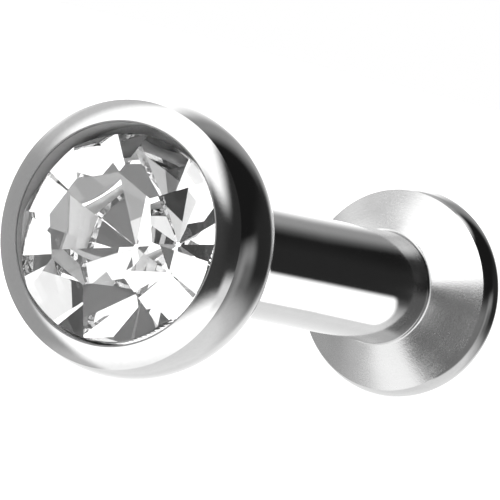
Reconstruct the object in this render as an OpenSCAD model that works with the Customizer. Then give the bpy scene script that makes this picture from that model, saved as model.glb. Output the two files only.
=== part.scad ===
// Labret stud: a turned post with a flared back, and a jewelled head that
// comes off it. Lengths are in millimetres and angles in degrees.
// The stud lies on its side on z = 0, on the widest circles of head and back,
// with its axis in the YZ plane and the jewel towards -Y.

/* [Post] */
// Thickness of the post, 14 gauge
post_d = 1.63; // [1.4:0.01:2.4]
// Wearing length, from the foot of the flare to the head
post_len = 6.2; // [5:0.1:16]
// Chamfer round the open end of the post
post_chamfer = 0.06; // [0.02:0.01:0.1]

/* [Back] */
// Diameter of the flared back
back_d = 3.05; // [2.8:0.05:5]
// Half angle of the cone between post and rim
flare_angle = 54; // [35:1:60]
// Radius of the rim's rounding, seen in section
rim_round = 0.5; // [0.4:0.01:0.6]
// Height of the rim's widest circle over the flat back
rim_height = 0.38; // [0.2:0.01:0.4]
// How far round the rim the cone starts, from the widest circle
rim_edge_angle = 30; // [20:1:45]

/* [Head] */
// Diameter of the head
head_d = 4; // [4:0.1:6]
// Height of the head, from the post to its lip
head_h = 2; // [1.95:0.05:3]
// Depth of the head's widest circle under the lip
head_wide_drop = 0.67; // [0.5:0.01:0.9]
// Radius of the barrel-shaped side, seen in section
barrel_round = 1.55; // [1.4:0.05:2]
// How far the rounded lip falls to the edge between it and the side
lip_drop = 0.17; // [0.1:0.01:0.2]
// How strongly the lip curls over, from near 0, a plain cone, to 1, level at the opening
lip_curl = 0.48; // [0.1:0.01:1]

/* [Fastening] */
// Diameter of the head's plain stem, in place of the screw thread
stem_d = 1.14; // [0.8:0.01:1.16]
// Length of the stem
stem_len = 2.6; // [1.5:0.1:4]
// Chamfer round the tip of the stem
stem_chamfer = 0.12; // [0.05:0.01:0.2]
// Play round the stem in its bore
stem_play = 0.03; // [0.01:0.01:0.05]
// Room left in the bore past the tip of the stem
bore_spare = 0.4; // [0.2:0.1:1]
// Seam between the head and the end of the post
seam = 0.02; // [0.01:0.01:0.05]

/* [Stone] */
// Diameter of the cut stone
stone_d = 3; // [2.4:0.05:3.05]
// Width of the table, across its corners
table_d = 1.67; // [1.4:0.01:2.2]
// Height of the crown over the girdle
crown_h = 0.64; // [0.25:0.01:0.75]
// Thickness of the girdle where it is thinnest
girdle_h = 0.12; // [0.01:0.01:0.15]
// Depth of the pavilion, from the girdle to its point
pavilion_h = 1.36; // [1:0.01:1.4]
// Width of the small flat ground on that point
culet_d = 0.06; // [0.04:0.01:0.12]
// Facets round the crown, and round the pavilion
facets = 8; // [8:1:16]
// Turn of the stone in its cup
stone_turn = 23.5; // [0:0.5:45]
// Depth of the girdle under the lip, on the stud's axis
stone_drop = 0.17; // [0.1:0.01:0.2]
// How far the stone leans in its cup
stone_lean = 7.4; // [0:0.1:8]
// The side that it leans towards
lean_side = 75; // [0:5:355]
// How far the leaning stone has crept up to its raised side
stone_creep = 0.05; // [0:0.01:0.05]
// Room for cement between the stone and the wall of its cup
cement_room = 0.08; // [0.08:0.01:0.15]
// Play between the pavilion and its seat
seat_play = 0.03; // [0.02:0.01:0.05]

/* [Hidden] */
$fn = 96;

post_r = post_d / 2;
stone_r = stone_d / 2;

// Flared back: centre of the rim's rounding, and the edge where the cone starts
rim_centre_r = back_d / 2 - rim_round;
rim_edge_r = rim_centre_r + rim_round * cos(rim_edge_angle);
rim_edge_z = rim_height + rim_round * sin(rim_edge_angle);
flare_top = rim_edge_z + (rim_edge_r - post_r) / tan(flare_angle);

// Heights along the stud, from its flat back
head_base = flare_top + post_len;
post_top = head_base - seam;
lip_z = head_base + head_h;

// Head: the rounded lip meets the barrel-shaped side on one edge
opening_r = stone_r + cement_room;
barrel_centre_r = head_d / 2 - barrel_round;
barrel_z = lip_z - head_wide_drop;
lip_edge_r = barrel_centre_r + sqrt(pow(barrel_round, 2) - pow(head_wide_drop - lip_drop, 2));
lip_run = lip_edge_r - opening_r;
lip_lean = atan(lip_drop / lip_run) * (1 - lip_curl);
lip_end_lean = atan(lip_drop / lip_run) * (1 + lip_curl);
lip_round = lip_run / (sin(lip_end_lean) - sin(lip_lean));
lip_centre_r = opening_r - lip_round * sin(lip_lean);
lip_centre_z = lip_z - lip_round * cos(lip_lean);

// Stem and bore
bore_r = stem_d / 2 + stem_play;
bore_len = stem_len + bore_spare;

// Stone, with heights from the top of its girdle: the facets are cut from a round
// blank, and the corners between pavilion facets run down from the ridge foot
corner_share = cos(180 / facets);
crown_angle = atan(crown_h / (stone_r - table_d / 2 * corner_share));
pavilion_slope = pavilion_h / stone_r;
pavilion_angle = atan(pavilion_slope);
point_depth = girdle_h + pavilion_h;
culet_depth = point_depth - culet_d / 2 * pavilion_slope;
ridge_depth = girdle_h + pavilion_h * (1 - corner_share);

// Cup: a cone that runs clear of the leaning stone's lowest edge and its point
girdle_z = lip_z - stone_drop;
low_edge_z = girdle_z - stone_r * sin(stone_lean) - ridge_depth * cos(stone_lean);
point_r = point_depth * sin(stone_lean) + stone_creep;
point_z = girdle_z - point_depth * cos(stone_lean);
seat_top = low_edge_z - seat_play;
seat_slope = (seat_top - point_z + seat_play) / (opening_r - point_r);
seat_point = seat_top - opening_r * seat_slope;

// Lying down: the two roundings that touch the surface set the slope of the axis
rest_span = barrel_z - rim_height;
rest_step = rim_centre_r - barrel_centre_r;
lie_angle = asin((barrel_round - rim_round) / norm([rest_span, rest_step])) - atan(rest_step / rest_span);
axis_rise = rim_centre_r * cos(lie_angle) + rim_round - rim_height * sin(lie_angle);

// Reach of one corner of the leaning table, and of the lip, towards the front
function corner_reach(turn) =
    let (
        along = table_d / 2 * cos(turn - lean_side),
        across = table_d / 2 * sin(turn - lean_side),
        outwards = along * cos(stone_lean) + crown_h * sin(stone_lean) - stone_creep,
        height = girdle_z + crown_h * cos(stone_lean) - along * sin(stone_lean),
        sideways = outwards * sin(lean_side) + across * cos(lean_side)
    )
    height * cos(lie_angle) - sideways * sin(lie_angle);
table_reach = max([for (i = [0 : facets - 1]) corner_reach(stone_turn + (i + 0.5) * 360 / facets)]);
lip_reach = lip_centre_z * cos(lie_angle) + lip_centre_r * sin(lie_angle)
    + lip_round * cos(max(0, lip_lean - lie_angle));
front_reach = max(table_reach, lip_reach);
back_flat_r = rim_centre_r + sqrt(pow(rim_round, 2) - pow(rim_height, 2));
back_reach = back_flat_r * sin(lie_angle);

// Bigger than anything that is cut, and the overshoot of a cut
cutter = 3 * head_d;
over = 0.1;

// Turns a piece from its upright frame, on the flat back, to how the stud lies
module lay_down() {
    translate([0, (front_reach - back_reach) / 2, axis_rise])
        rotate([90 - lie_angle, 0, 0]) children();
}

// Half section of the flared back: a cone over a rounded rim
module flare_section() {
    polygon([[0, 0], [rim_centre_r, 0], [rim_edge_r, rim_edge_z], [post_r, flare_top], [0, flare_top]]);
    intersection() {
        translate([rim_centre_r, rim_height]) circle(rim_round);
        square([back_d, rim_edge_z]);
    }
}

// Half section of the post, with its chamfered end
module shank_section() {
    polygon([[0, rim_height], [post_r, rim_height], [post_r, post_top - post_chamfer],
        [post_r - post_chamfer, post_top], [0, post_top]]);
}

module post() {
    color("gainsboro") lay_down() difference() {
        rotate_extrude() {
            flare_section();
            shank_section();
        }
        translate([0, 0, head_base - bore_len]) cylinder(r = bore_r, h = bore_len);
    }
}

// Half section of the solid head: barrel side, rounded lip
module head_section() {
    intersection() {
        translate([0, head_base]) square([head_d, head_h]);
        union() {
            translate([barrel_centre_r, barrel_z]) circle(barrel_round, $fn = 180);
            translate([0, head_base]) square([barrel_centre_r, head_h]);
        }
        union() {
            translate([lip_centre_r, lip_centre_z]) circle(lip_round, $fn = 180);
            translate([0, head_base]) square([opening_r, head_h]);
            translate([0, head_base]) square([head_d, lip_centre_z - head_base]);
        }
    }
}

module setting() {
    color("silver") lay_down() {
        difference() {
            rotate_extrude() head_section();
            translate([0, 0, seat_point]) cylinder(r1 = 0, r2 = opening_r, h = seat_top - seat_point);
            translate([0, 0, seat_top]) cylinder(r = opening_r, h = lip_z - seat_top + over);
        }
        translate([0, 0, head_base - stem_len + stem_chamfer])
            cylinder(d = stem_d, h = stem_len - stem_chamfer);
        translate([0, 0, head_base - stem_len])
            cylinder(d1 = stem_d - 2 * stem_chamfer, d2 = stem_d, h = stem_chamfer);
    }
}

// One ring of flat cuts round the blank; each leans outwards by lean from straight up
module facet_ring(height, lean, turn) {
    for (i = [0 : facets - 1])
        rotate([0, 0, i * 360 / facets + turn])
            translate([stone_r, 0, height])
                rotate([0, lean, 0])
                    translate([-cutter / 2, -cutter / 2, 0]) cube(cutter);
}

// Sets the stone in its cup, leaning towards one side
module seat_stone() {
    translate([0, 0, girdle_z])
        rotate([0, 0, lean_side])
            translate([-stone_creep, 0, 0])
                rotate([0, stone_lean, 0])
                    rotate([0, 0, -lean_side]) children();
}

// The pavilion's facets lie half a step round from the crown's
module stone() {
    color("aliceblue") lay_down() seat_stone() difference() {
        translate([0, 0, -culet_depth]) cylinder(r = stone_r, h = crown_h + culet_depth);
        facet_ring(0, crown_angle, stone_turn);
        facet_ring(-girdle_h, 180 - pavilion_angle, stone_turn + 180 / facets);
    }
}

post();
setting();
stone();
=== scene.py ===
import bpy
import bmesh
import math
from mathutils import Matrix, Vector


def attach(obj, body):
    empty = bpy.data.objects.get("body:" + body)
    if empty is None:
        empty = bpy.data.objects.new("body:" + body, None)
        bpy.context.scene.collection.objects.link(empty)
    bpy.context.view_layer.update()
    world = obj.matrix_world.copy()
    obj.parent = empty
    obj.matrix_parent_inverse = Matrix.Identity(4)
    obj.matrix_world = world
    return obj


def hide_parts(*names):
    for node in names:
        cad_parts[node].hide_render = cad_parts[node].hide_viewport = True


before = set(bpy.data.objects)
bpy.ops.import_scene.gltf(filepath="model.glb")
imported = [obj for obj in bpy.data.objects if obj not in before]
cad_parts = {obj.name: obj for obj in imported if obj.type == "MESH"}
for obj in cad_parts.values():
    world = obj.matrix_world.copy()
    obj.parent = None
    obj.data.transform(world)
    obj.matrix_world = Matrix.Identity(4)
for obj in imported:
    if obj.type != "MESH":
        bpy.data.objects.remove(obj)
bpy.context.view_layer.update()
print("frame loaded:", sorted(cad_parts))

mm = 0.001
weld = 1e-7  # closer than this, two points are one
onCut = 1e-9  # closer than this, a point lies on a flat cut


# How the stud lies: heights run along its axis, from the flat back towards the raised jewel
lieDown = {"lean": 3.3085, "backY": 4.9084, "backZ": 1.5014}


def layDown(height=0.0):
    turn = Matrix.Rotation(math.radians(90 - lieDown["lean"]), 4, "X")
    place = Matrix.Translation((0, lieDown["backY"] * mm, lieDown["backZ"] * mm))
    return place @ turn @ Matrix.Translation((0, 0, height * mm))


# Camera: a long lens at the photograph's angle, turned so that the stud rises to the left
cameraSet = {
    "azimuth": 27.9,
    "elevation": 5.0,
    "roll": 13.9,
    "lens": 1600,
    "sensor": 36,
    "pictureSize": 500,
    "pixelsPerMm": 70.1,
    "lipHeight": 9.2972,
    "lipPixel": (116.5, 233.7),
    "midHeight": 5.0,
    "clip": (0.1, 4),  # in shares of the camera's distance
}


def makeCamera(c):
    a, e, r = (math.radians(c[k]) for k in ("azimuth", "elevation", "roll"))
    back = Vector((math.sin(a) * math.cos(e), -math.cos(a) * math.cos(e), math.sin(e)))
    level = Vector((math.cos(a), math.sin(a), 0))
    rise = back.cross(level)
    right = level * math.cos(r) + rise * math.sin(r)
    up = back.cross(right)
    data = bpy.data.cameras.new("camera")
    data.lens = c["lens"]
    data.sensor_width = c["sensor"]
    width = c["pictureSize"] / c["pixelsPerMm"] * mm
    distance = width * c["lens"] / data.sensor_width
    lip = layDown(c["lipHeight"]).translation
    middle = layDown(c["midHeight"]).translation
    # from the lip to the picture's centre, then along the view to the middle of the stud
    across, down = ((c["pictureSize"] / 2 - spot) / c["pixelsPerMm"] * mm for spot in c["lipPixel"])
    aim = lip + right * across - up * down
    aim += back * (middle - aim).dot(back)
    camera = bpy.data.objects.new("camera", data)
    bpy.context.collection.objects.link(camera)
    turn = Matrix((right, up, back)).transposed().to_4x4()
    camera.matrix_world = Matrix.Translation(aim + back * distance) @ turn
    data.clip_start, data.clip_end = (distance * share for share in c["clip"])
    bpy.context.scene.camera = camera


makeCamera(cameraSet)
print("camera placed")


# Small helpers for nodes and meshes
def mathNode(tree, work, *values):
    node = tree.nodes.new("ShaderNodeMath")
    node.operation = work
    for socket, value in zip(node.inputs, values):
        if isinstance(value, bpy.types.NodeSocket):
            tree.links.new(value, socket)
        else:
            socket.default_value = value
    return node.outputs[0]


def splitNode(tree, place):
    parts = tree.nodes.new("ShaderNodeSeparateXYZ")
    tree.links.new(place, parts.inputs[0])
    return parts.outputs


def mixShaders(tree, mask, below, above):
    mix = tree.nodes.new("ShaderNodeMixShader")
    for socket, value in zip(mix.inputs, (mask, below, above)):
        tree.links.new(value, socket)
    return mix.outputs[0]


# 1 up to half a width from the middle, fading to 0 over the soft edge
def softEdge(tree, distance, half, soft):
    node = tree.nodes.new("ShaderNodeMapRange")
    node.interpolation_type = "SMOOTHSTEP"
    tree.links.new(mathNode(tree, "ABSOLUTE", distance), node.inputs["Value"])
    node.inputs["From Min"].default_value = half
    node.inputs["From Max"].default_value = half + soft
    node.inputs["To Min"].default_value = 1
    node.inputs["To Max"].default_value = 0
    return node.outputs["Result"]


def newFinish(name):
    finish = bpy.data.materials.new(name)
    finish.use_nodes = True
    return finish, finish.node_tree.nodes["Principled BSDF"]


def grey(tone):
    return (tone, tone, tone, 1)


def newObject(bm, name, finishes):
    mesh = bpy.data.meshes.new(name)
    bm.to_mesh(mesh)
    bm.free()
    for finish in finishes:
        mesh.materials.append(finish)
    made = bpy.data.objects.new(name, mesh)
    bpy.context.collection.objects.link(made)
    return made


# A direction by its degrees from the camera, right being plus, and its height
def directionFrom(aim, level):
    heading = math.radians(aim - 90 + cameraSet["azimuth"])
    rise = math.radians(level)
    flat = math.cos(rise)
    return Vector((flat * math.cos(heading), flat * math.sin(heading), math.sin(rise)))


# Studio round the stud: a white tent with soft grey and black cards in it, laid over each other in order
studio = {
    "white": 2.5,
    # aim in degrees from the camera, height, half width, half height, soft edge, tone
    "cards": {
        "table": (0, -90, 180, 25, 25, 2.0),
        "tableRight": (160, -55, 60, 25, 20, 1.4),
        "tableLeft": (-104, -50, 18, 10, 20, 1.0),
        "paleLeft": (-108, 36, 6, 24, 22, 1.1),
        "greyLeft": (-112, -15, 28, 24, 14, 0.68),
        "cameraFlag": (-3, 5, 24, 13, 14, 0.09),
        "cameraStand": (19, 40, 12, 26, 27, 0.05),
        "paleCorner": (22, -14, 10, 4, 10, 1.5),
        "greyCorner": (73, -22, 15, 40, 12, 0.34),
        "greyRight": (120, -8, 18, 4, 26, 0.26),
        "highRight": (178, 58, 26, 10, 10, 0.95),
        "lowRight": (180, -22, 22, 12, 10, 1.25),
        "greyBehind": (158, 32, 8, 22, 22, 0.5),
        "blackFlag": (108, 35, 34, 20, 20, 0.02),
        "darkBehind": (134, 4, 14, 9, 14, 0.04),
    },
    # seen through the stone alone
    "stoneCards": {
        "stoneWhite": (2, 33, 10, 9, 5, 2.5),
    },
    # reflected alone, and not seen through the stone
    "steelCards": {
        "greyNearLeft": (-62, -9, 9, 11, 7, 0.85),
    },
    # how often light may bounce: in all, off steel or foil, and through the stone
    "bounces": (24, 20, 20),
}


def lightCard(tree, azimuth, height, below, card, seen):
    aim, level, halfWidth, halfHeight, soft, tone = card
    offset = mathNode(tree, "WRAP", mathNode(tree, "SUBTRACT", azimuth, aim), 180, -180)
    rise = mathNode(tree, "SUBTRACT", height, level)
    sides = softEdge(tree, offset, halfWidth, soft)
    mask = mathNode(tree, "MULTIPLY", sides, softEdge(tree, rise, halfHeight, soft))
    mask = mathNode(tree, "MULTIPLY", mask, seen)
    change = mathNode(tree, "SUBTRACT", tone, below)
    return mathNode(tree, "ADD", below, mathNode(tree, "MULTIPLY", mask, change))


def makeStudio(s):
    world = bpy.data.worlds.new("studio")
    bpy.context.scene.world = world
    world.use_nodes = True
    tree = world.node_tree
    tree.nodes.clear()
    x, y, z = splitNode(tree, tree.nodes.new("ShaderNodeTexCoord").outputs["Generated"])
    heading = mathNode(tree, "DEGREES", mathNode(tree, "ARCTAN2", y, x))
    azimuth = mathNode(tree, "ADD", heading, 90 - cameraSet["azimuth"])
    height = mathNode(tree, "DEGREES", mathNode(tree, "ARCSINE", z))
    path = tree.nodes.new("ShaderNodeLightPath")
    throughStone = path.outputs["Is Transmission Ray"]
    reflected = mathNode(tree, "SUBTRACT", 1, throughStone)
    tone = s["white"]
    for group, seen in (("cards", 1), ("stoneCards", throughStone), ("steelCards", reflected)):
        for card in s[group].values():
            tone = lightCard(tree, azimuth, height, tone, card, seen)
    cards = tree.nodes.new("ShaderNodeBackground")
    cards.inputs["Color"].default_value = grey(1)
    tree.links.new(tone, cards.inputs["Strength"])
    plain = tree.nodes.new("ShaderNodeBackground")
    plain.inputs["Color"].default_value = grey(1)
    tent = mixShaders(tree, path.outputs["Is Camera Ray"], cards.outputs[0], plain.outputs[0])
    tree.links.new(tent, tree.nodes.new("ShaderNodeOutputWorld").inputs["Surface"])
    scene = bpy.context.scene
    scene.view_settings.view_transform = "Standard"
    cycles = scene.cycles
    cycles.max_bounces, cycles.glossy_bounces, cycles.transmission_bounces = s["bounces"]


makeStudio(studio)
print("studio lit")


# Close lights: strips with soft edges, each lighting one surface, and a grey card in front of the back.
# Sizes are half the width and half the length, without the soft edge
coneStrip = {
    "aim": 10, "level": 45, "distance": 9, "turn": -22,
    "size": (3.0, 2.6), "soft": 2.4, "tone": 3.0,
}
postStrip = {
    "side": -27.5, "away": 1.12, "middle": 4.375,
    "size": (0.36, 2.84), "soft": 0.19, "tone": 2.5,
}
greyCard = {
    "aim": 12, "level": -18, "distance": 9.5, "turn": 0,
    "size": (2.6, 7.6), "soft": 2.0, "tone": 0.27,
}
coneHeight = 0.8  # the middle of the cone


def makeStrip(name, strip, place):
    halfWide, halfHigh = strip["size"]
    soft = strip["soft"]
    wide, high = 2 * (halfWide + soft), 2 * (halfHigh + soft)
    data = bpy.data.lights.new(name, "AREA")
    data.shape = "RECTANGLE"
    data.size = wide * mm
    data.size_y = high * mm
    data.energy = math.pi * wide * high * mm * mm * strip["tone"]
    data.use_nodes = True
    tree = data.node_tree
    # both run from 0 to 1 over the strip
    x, y = splitNode(tree, tree.nodes.new("ShaderNodeNewGeometry").outputs["Parametric"])[:2]
    across = softEdge(tree, mathNode(tree, "SUBTRACT", x, 0.5), halfWide / wide, soft / wide)
    along = softEdge(tree, mathNode(tree, "SUBTRACT", y, 0.5), halfHigh / high, soft / high)
    glow = mathNode(tree, "MULTIPLY", across, along)
    tree.links.new(glow, tree.nodes["Emission"].inputs["Strength"])
    lamp = bpy.data.objects.new(name, data)
    lamp.matrix_world = place @ Matrix.Rotation(math.pi, 4, "Y")
    lamp.visible_diffuse = False
    lamp.visible_transmission = False
    bpy.context.collection.objects.link(lamp)


def makeCard(name, card, place):
    halfWide, halfHigh = card["size"]
    soft = card["soft"]
    bm = bmesh.new()
    bmesh.ops.create_grid(bm, x_segments=1, y_segments=1, size=mm)
    bmesh.ops.scale(bm, vec=(halfWide + soft, halfHigh + soft, 1), verts=bm.verts)
    glow = bpy.data.materials.new(name)
    glow.use_nodes = True
    tree = glow.node_tree
    tree.nodes.clear()
    x, y = splitNode(tree, tree.nodes.new("ShaderNodeTexCoord").outputs["Object"])[:2]
    across = softEdge(tree, x, halfWide * mm, soft * mm)
    mask = mathNode(tree, "MULTIPLY", across, softEdge(tree, y, halfHigh * mm, soft * mm))
    behind = tree.nodes.new("ShaderNodeNewGeometry").outputs["Backfacing"]
    mask = mathNode(tree, "MULTIPLY", mask, mathNode(tree, "SUBTRACT", 1, behind))
    clear = tree.nodes.new("ShaderNodeBsdfTransparent")
    light = tree.nodes.new("ShaderNodeEmission")
    light.inputs["Strength"].default_value = card["tone"]
    shown = mixShaders(tree, mask, clear.outputs[0], light.outputs[0])
    tree.links.new(shown, tree.nodes.new("ShaderNodeOutputMaterial").inputs["Surface"])
    sheet = newObject(bm, name, [glow])
    sheet.matrix_world = place
    sheet.visible_camera = False
    sheet.visible_diffuse = False
    sheet.visible_transmission = False
    sheet.visible_shadow = False


def facingMatrix(spot, facing, rise):
    facing = facing.normalized()
    side = rise.cross(facing).normalized()
    return Matrix.Translation(spot) @ Matrix((side, facing.cross(side), facing)).transposed().to_4x4()


# What lights the cone faces the back, but from the head it stands edge-on
def placeForCone(c):
    outwards = directionFrom(c["aim"], c["level"])
    spot = layDown(coneHeight).translation + outwards * c["distance"] * mm
    sight = (spot - layDown(cameraSet["lipHeight"]).translation).normalized()
    place = facingMatrix(spot, sight * outwards.dot(sight) - outwards, Vector((0, 0, 1)))
    return place @ Matrix.Rotation(math.radians(c["turn"]), 4, "Z")


# The strip for the post lies along it
def placeForPost(c):
    turn = layDown(c["middle"])
    side = math.radians(c["side"])
    outwards = turn.to_3x3() @ Vector((math.cos(side), math.sin(side), 0))
    along = turn.to_3x3() @ Vector((0, 0, 1))
    return facingMatrix(turn.translation + outwards * c["away"] * mm, -outwards, along)


makeStrip("coneStrip", coneStrip, placeForCone(coneStrip))
makeStrip("postStrip", postStrip, placeForPost(postStrip))
makeCard("greyCard", greyCard, placeForCone(greyCard))
print("close lights set")


# Floor: a plain pale round card under the stud, lit evenly so that it stays as white as the tent
floorSet = {"radius": 60, "sides": 96, "tone": 0.25, "glow": 0.92, "roughness": 0.9}


def makeFloor(f):
    bm = bmesh.new()
    bmesh.ops.create_circle(bm, cap_ends=True, segments=f["sides"], radius=f["radius"] * mm)
    card, shader = newFinish("paleCard")
    shader.inputs["Base Color"].default_value = grey(f["tone"])
    shader.inputs["Roughness"].default_value = f["roughness"]
    shader.inputs["Specular IOR Level"].default_value = 0.0
    shader.inputs["Emission Color"].default_value = grey(1)
    shader.inputs["Emission Strength"].default_value = f["glow"]
    floor = newObject(bm, "floor", [card])
    floor.visible_glossy = False
    floor.visible_transmission = False


makeFloor(floorSet)
print("floor laid")


# Soft boxes for what isn't polished: one over the floor, one from the left into the cup
softBoxes = {
    # aim from the camera, height, distance, width, power
    "overhead": (0, 90, 60, 60, 0.03),
    "cupLight": (-70, 8, 40, 20, 0.024),
}


def makeSoftBox(name, box):
    aim, level, distance, width, power = box
    data = bpy.data.lights.new(name, "AREA")
    data.shape = "DISK"
    data.size = width * mm
    data.energy = power
    outwards = directionFrom(aim, level)
    lamp = bpy.data.objects.new(name, data)
    lamp.location = outwards * distance * mm
    lamp.rotation_euler = outwards.to_track_quat("Z", "Y").to_euler()
    lamp.visible_glossy = False
    lamp.visible_transmission = False
    bpy.context.collection.objects.link(lamp)


for name, box in softBoxes.items():
    makeSoftBox(name, box)
print("soft boxes set")


# Turning: a half section drawn point by point and arc by arc, then spun round the axis.
# A step goes to a radius and height, or round an arc: its middle's radius and height, degrees, parts
def turned(start, steps, around=192):
    bm = bmesh.new()
    last = bm.verts.new((start[0] * mm, 0, start[1] * mm))
    for step in steps:
        if step[0] == "to":
            made = bmesh.ops.extrude_vert_indiv(bm, verts=[last])
            last = made["verts"][0]
            last.co = (step[1] * mm, 0, step[2] * mm)
        else:
            middle, level, angle, parts = step[1:]
            made = bmesh.ops.spin(
                bm, geom=[last], cent=(middle * mm, 0, level * mm), axis=(0, 1, 0),
                angle=math.radians(angle), steps=parts, use_merge=False)
            last = made["geom_last"][0]
    bmesh.ops.spin(
        bm, geom=bm.verts[:] + bm.edges[:], cent=(0, 0, 0), axis=(0, 0, 1),
        angle=2 * math.pi, steps=around, use_merge=True)
    bmesh.ops.remove_doubles(bm, verts=bm.verts, dist=weld)
    bmesh.ops.recalc_face_normals(bm, faces=bm.faces)
    return bm


def softenRing(bm, radius, height, width, parts=4):
    def onRing(vert):
        aside = abs(vert.co.xy.length - radius * mm)
        return aside < 2 * weld and abs(vert.co.z - height * mm) < 2 * weld

    ring = [edge for edge in bm.edges if all(onRing(vert) for vert in edge.verts)]
    bmesh.ops.bevel(
        bm, geom=ring, affect="EDGES", offset=width * mm, offset_type="OFFSET",
        segments=parts, profile=0.5, material=-1)


def finishPiece(bm, name, body, node, finishes, crease=15):
    for face in bm.faces:
        face.smooth = True
    for edge in bm.edges:
        edge.smooth = len(edge.link_faces) == 2 and edge.calc_face_angle(0) < math.radians(crease)
    bmesh.ops.transform(bm, matrix=layDown(), verts=bm.verts)
    piece = newObject(bm, name, finishes)
    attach(piece, body)
    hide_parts(node)


# Steel: polished, satin where only the lathe has been, grey in the cup, where it is left rough, and dark
# on the lip's softened edge, which is painted shade where the lip turns in
steelSet = {
    # tone and its mottling, metallic, roughness and its variation,
    # turning marks in a millimetre and their depth, grain and its depth
    "polished": (0.45, 0.10, 1.0, 0.09, 0.03, 40, 0.03, 16, 0.05),
    "turned": (0.45, 0.18, 1.0, 0.24, 0.08, 32, 0.20, 40, 0.22),
    "cupWall": (0.40, 0.50, 0.0, 0.45, 0.10, 30, 0.50, 24, 0.60),
    # painted shade: a dark, dull finish along the lip's softened edge stands in for shade where the lip
    # turns in
    "lipEdgeShade": (0.11, 0.50, 0.0, 0.45, 0.10, 30, 0.30, 24, 0.40),
}
cloudsPerMm = 1.6
markDepth = 0.004  # millimetres, of a mark at full strength


def noiseNode(tree, place, perMm, detail):
    noise = tree.nodes.new("ShaderNodeTexNoise")
    noise.inputs["Scale"].default_value = perMm / mm
    noise.inputs["Detail"].default_value = detail
    tree.links.new(place, noise.inputs["Vector"])
    return noise.outputs[0]


def bumpNode(tree, height, strength, below=None):
    bump = tree.nodes.new("ShaderNodeBump")
    bump.inputs["Strength"].default_value = strength
    bump.inputs["Distance"].default_value = markDepth * mm
    tree.links.new(height, bump.inputs["Height"])
    if below:
        tree.links.new(below, bump.inputs["Normal"])
    return bump.outputs[0]


def makeSteel(name, finish):
    tone, mottle, metallic, roughness, vary, rings, ringDepth, grain, grainDepth = finish
    steel, shader = newFinish(name)
    tree = steel.node_tree
    shader.inputs["Metallic"].default_value = metallic
    upright = tree.nodes.new("ShaderNodeMapping")  # stands the stud on its back, with its axis along Z
    upright.vector_type = "TEXTURE"
    upright.inputs["Location"].default_value = (0, lieDown["backY"] * mm, lieDown["backZ"] * mm)
    upright.inputs["Rotation"].default_value = (math.radians(90 - lieDown["lean"]), 0, 0)
    tree.links.new(tree.nodes.new("ShaderNodeTexCoord").outputs["Object"], upright.inputs["Vector"])
    x, y, z = splitNode(tree, upright.outputs[0])
    square = mathNode(tree, "ADD", mathNode(tree, "MULTIPLY", x, x), mathNode(tree, "MULTIPLY", y, y))
    ringSpot = tree.nodes.new("ShaderNodeCombineXYZ")
    tree.links.new(mathNode(tree, "SQRT", square), ringSpot.inputs[0])
    tree.links.new(z, ringSpot.inputs[2])
    ringMarks = noiseNode(tree, ringSpot.outputs[0], rings, detail=3)
    wear = noiseNode(tree, upright.outputs[0], grain, detail=4)
    clouds = noiseNode(tree, upright.outputs[0], cloudsPerMm, detail=3)
    bump = bumpNode(tree, ringMarks, ringDepth)
    bump = bumpNode(tree, wear, grainDepth, bump)
    tree.links.new(bump, shader.inputs["Normal"])
    # wear and clouds together run from 0 to 2, with 1 in the middle
    patches = mathNode(tree, "ADD", wear, clouds)
    rough = mathNode(tree, "MULTIPLY", mathNode(tree, "SUBTRACT", patches, 1), 2 * vary)
    tree.links.new(mathNode(tree, "ADD", rough, roughness), shader.inputs["Roughness"])
    shade = tree.nodes.new("ShaderNodeMix")
    shade.data_type = "RGBA"
    tree.links.new(mathNode(tree, "MULTIPLY", patches, 0.5), shade.inputs["Factor"])
    shade.inputs["A"].default_value = grey(tone * (1 - mottle))
    shade.inputs["B"].default_value = grey(tone * (1 + mottle))
    tree.links.new(shade.outputs["Result"], shader.inputs["Base Color"])
    return steel


headSteel = makeSteel("headSteel", steelSet["polished"])
cupSteel = makeSteel("cupSteel", steelSet["cupWall"])
# the lip's softened edge gets a dark finish that is painted shade
lipShadeSteel = makeSteel("lipShadeSteel", steelSet["lipEdgeShade"])
postSteel = makeSteel("postSteel", steelSet["polished"])
coneSteel = makeSteel("coneSteel", steelSet["turned"])
print("steel mixed")


# Post with its flared back
postSize = {
    "radius": 0.815, "top": 7.2772, "chamfer": 0.06,
    "rimMiddle": 1.025, "rimHeight": 0.38, "rimRound": 0.5, "rimEdge": 30, "flareTop": 1.0972,
    "boreRadius": 0.60, "boreDepth": 3.0, "seam": 0.02, "footRound": 0.05, "backRing": 0.65,
}


def makePost(p):
    r = p["radius"]
    edge = math.radians(p["rimEdge"])
    edgeR = p["rimMiddle"] + p["rimRound"] * math.cos(edge)
    edgeZ = p["rimHeight"] + p["rimRound"] * math.sin(edge)
    foot = math.asin(p["rimHeight"] / p["rimRound"])
    flatR = p["rimMiddle"] + p["rimRound"] * math.cos(foot)
    top = p["top"]
    boreEnd = top + p["seam"] - p["boreDepth"]
    steps = [
        ("to", p["backRing"], 0),
        ("to", flatR, 0),
        ("arc", p["rimMiddle"], p["rimHeight"], -math.degrees(foot + edge), 28),
        ("to", (edgeR + r) / 2, (edgeZ + p["flareTop"]) / 2),
        ("to", r, p["flareTop"]),
        ("to", r, (top + p["flareTop"]) / 2),
        ("to", r, top - p["chamfer"]),
        ("to", r - p["chamfer"], top),
        ("to", p["boreRadius"], top),
        ("to", p["boreRadius"], boreEnd),
        ("to", 0, boreEnd),
    ]
    bm = turned((0, 0), steps)
    for face in bm.faces:
        middle = face.calc_center_median() / mm
        if edgeZ < middle.z < p["flareTop"] and middle.xy.length > r:
            face.material_index = 1  # the cone
    softenRing(bm, r, p["flareTop"], p["footRound"])
    finishPiece(bm, "flaredPost", "stud", "post", [postSteel, coneSteel])


makePost(postSize)
print("post turned")


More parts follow.
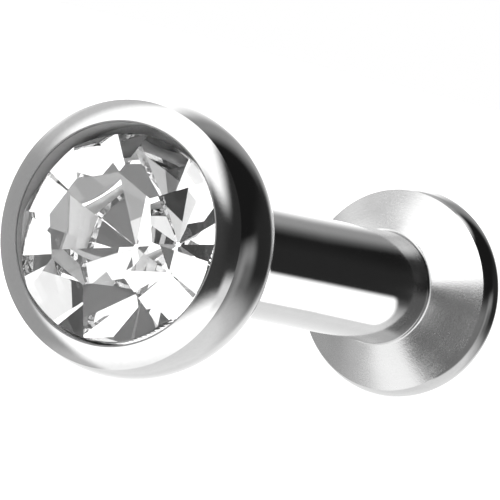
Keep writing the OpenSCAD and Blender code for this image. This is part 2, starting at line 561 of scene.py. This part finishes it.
# Head: cup with its lip, and the stem below
headSize = {
    "base": 7.2972, "lip": 9.2972, "opening": 1.58, "lipLean": 13.9, "lipDrop": 0.17,
    "sideMiddle": 0.45, "sideHeight": 8.6272, "sideRound": 1.55,
    "seatTop": 8.6823, "seatPoint": 7.4404, "stemRadius": 0.57, "stemLength": 2.6, "stemChamfer": 0.12,
    "lipRound": 0.03,
}


def makeHead(h):
    edgeZ = h["lip"] - h["lipDrop"]
    edgeR = h["sideMiddle"] + math.sqrt(h["sideRound"] ** 2 - (edgeZ - h["sideHeight"]) ** 2)
    lean = math.radians(h["lipLean"])
    lipEnd = 2 * math.atan(h["lipDrop"] / (edgeR - h["opening"])) - lean
    lipArc = (edgeR - h["opening"]) / (math.sin(lipEnd) - math.sin(lean))
    start = math.degrees(math.atan2(edgeZ - h["sideHeight"], edgeR - h["sideMiddle"]))
    end = math.degrees(math.asin((h["base"] - h["sideHeight"]) / h["sideRound"]))
    tip = h["base"] - h["stemLength"]
    steps = [
        ("to", h["opening"], h["seatTop"]),
        ("to", h["opening"], h["lip"]),
        ("arc", h["opening"] - lipArc * math.sin(lean), h["lip"] - lipArc * math.cos(lean),
         math.degrees(lipEnd - lean), 16),
        ("arc", h["sideMiddle"], h["sideHeight"], start - end, 40),
        ("to", h["stemRadius"], h["base"]),
        ("to", h["stemRadius"], tip + h["stemChamfer"]),
        ("to", h["stemRadius"] - h["stemChamfer"], tip),
        ("to", 0, tip),
    ]
    bm = turned((0, h["seatPoint"]), steps)
    for face in bm.faces:
        middle = face.calc_center_median() / mm
        if middle.xy.length < h["opening"] and middle.z > h["seatPoint"]:
            face.material_index = 1  # seat and wall of the cup
    softenRing(bm, h["opening"], h["lip"], h["lipRound"])
    for face in bm.faces:
        middle = face.calc_center_median() / mm
        if middle.xy.length < h["opening"] + h["lipRound"] and middle.z > h["lip"] - h["lipRound"]:
            face.material_index = 2  # the softened edge of the lip, painted dark as shade where the lip turns in
    finishes = [headSteel, cupSteel, lipShadeSteel]
    finishPiece(bm, "jewelCup", "head", "setting", finishes)


makeHead(headSize)
print("head turned")


# Stone: a round blank cut by flat planes, foiled behind
stoneSet = {
    "radius": 1.5, "table": 0.835, "crown": 0.64, "girdle": 0.12, "pavilion": 1.36, "culet": 0.03,
    "facets": 8, "turn": 23.5, "girdleDrop": 0.17, "lean": 7.4, "leanTowards": 75, "creep": 0.05,
    "blankSides": 128, "refraction": 1.57, "foilTone": 0.8,
}


def cutFlat(bm, place, normal, slot):
    made = bmesh.ops.bisect_plane(
        bm, geom=bm.verts[:] + bm.edges[:] + bm.faces[:], dist=onCut,
        plane_co=place, plane_no=normal, clear_outer=True)
    rim = [e for e in made["geom_cut"] if isinstance(e, bmesh.types.BMEdge)]
    if rim:
        for face in bmesh.ops.contextual_create(bm, geom=rim)["faces"]:
            face.material_index = slot


def makeStone(s):
    bm = bmesh.new()
    table = s["crown"]
    foot = -s["girdle"]
    point = foot - s["pavilion"]
    slope = s["pavilion"] / s["radius"]
    culet = point + s["culet"] * slope
    bmesh.ops.create_cone(
        bm, cap_ends=True, segments=s["blankSides"], depth=(table - culet) * mm,
        radius1=s["radius"] * mm, radius2=s["radius"] * mm)
    bmesh.ops.translate(bm, verts=bm.verts, vec=(0, 0, (table + culet) / 2 * mm))
    share = math.cos(math.pi / s["facets"])
    crownRun = s["radius"] - s["table"] * share
    # a crown facet, then the pavilion facet half a step on
    for i in range(s["facets"]):
        a = math.radians(i * 360 / s["facets"] + s["turn"])
        out = Vector((math.cos(a), math.sin(a), 0))
        crown = (out * s["crown"] + Vector((0, 0, crownRun))).normalized()
        cutFlat(bm, out * s["radius"] * mm, crown, 0)
        a += math.pi / s["facets"]
        out = Vector((math.cos(a), math.sin(a), 0))
        under = (out * s["pavilion"] - Vector((0, 0, s["radius"]))).normalized()
        cutFlat(bm, (out * s["radius"] + Vector((0, 0, foot))) * mm, under, 1)
    # what faces down is foiled, the culet too
    for face in bm.faces:
        if face.normal.z < -0.5:
            face.material_index = 1
    bmesh.ops.remove_doubles(bm, verts=bm.verts, dist=weld)
    bmesh.ops.recalc_face_normals(bm, faces=bm.faces)
    towards = math.radians(s["leanTowards"])
    x, y = math.cos(towards), math.sin(towards)
    creep = Matrix.Translation((-x * s["creep"] * mm, -y * s["creep"] * mm, 0))
    lean = Matrix.Rotation(math.radians(s["lean"]), 4, Vector((-y, x, 0)))
    seat = layDown(headSize["lip"] - s["girdleDrop"]) @ creep @ lean
    bmesh.ops.transform(bm, matrix=seat, verts=bm.verts)
    crystal, shader = newFinish("crystal")
    shader.inputs["Base Color"].default_value = grey(1)
    shader.inputs["Transmission Weight"].default_value = 1
    shader.inputs["IOR"].default_value = s["refraction"]
    shader.inputs["Roughness"].default_value = 0
    foil, shader = newFinish("foil")
    shader.inputs["Base Color"].default_value = grey(s["foilTone"])
    shader.inputs["Metallic"].default_value = 1
    shader.inputs["Roughness"].default_value = 0
    stone = newObject(bm, "cutStone", [crystal, foil])
    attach(stone, "head")
    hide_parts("stone")


makeStone(stoneSet)
print("stone cut")
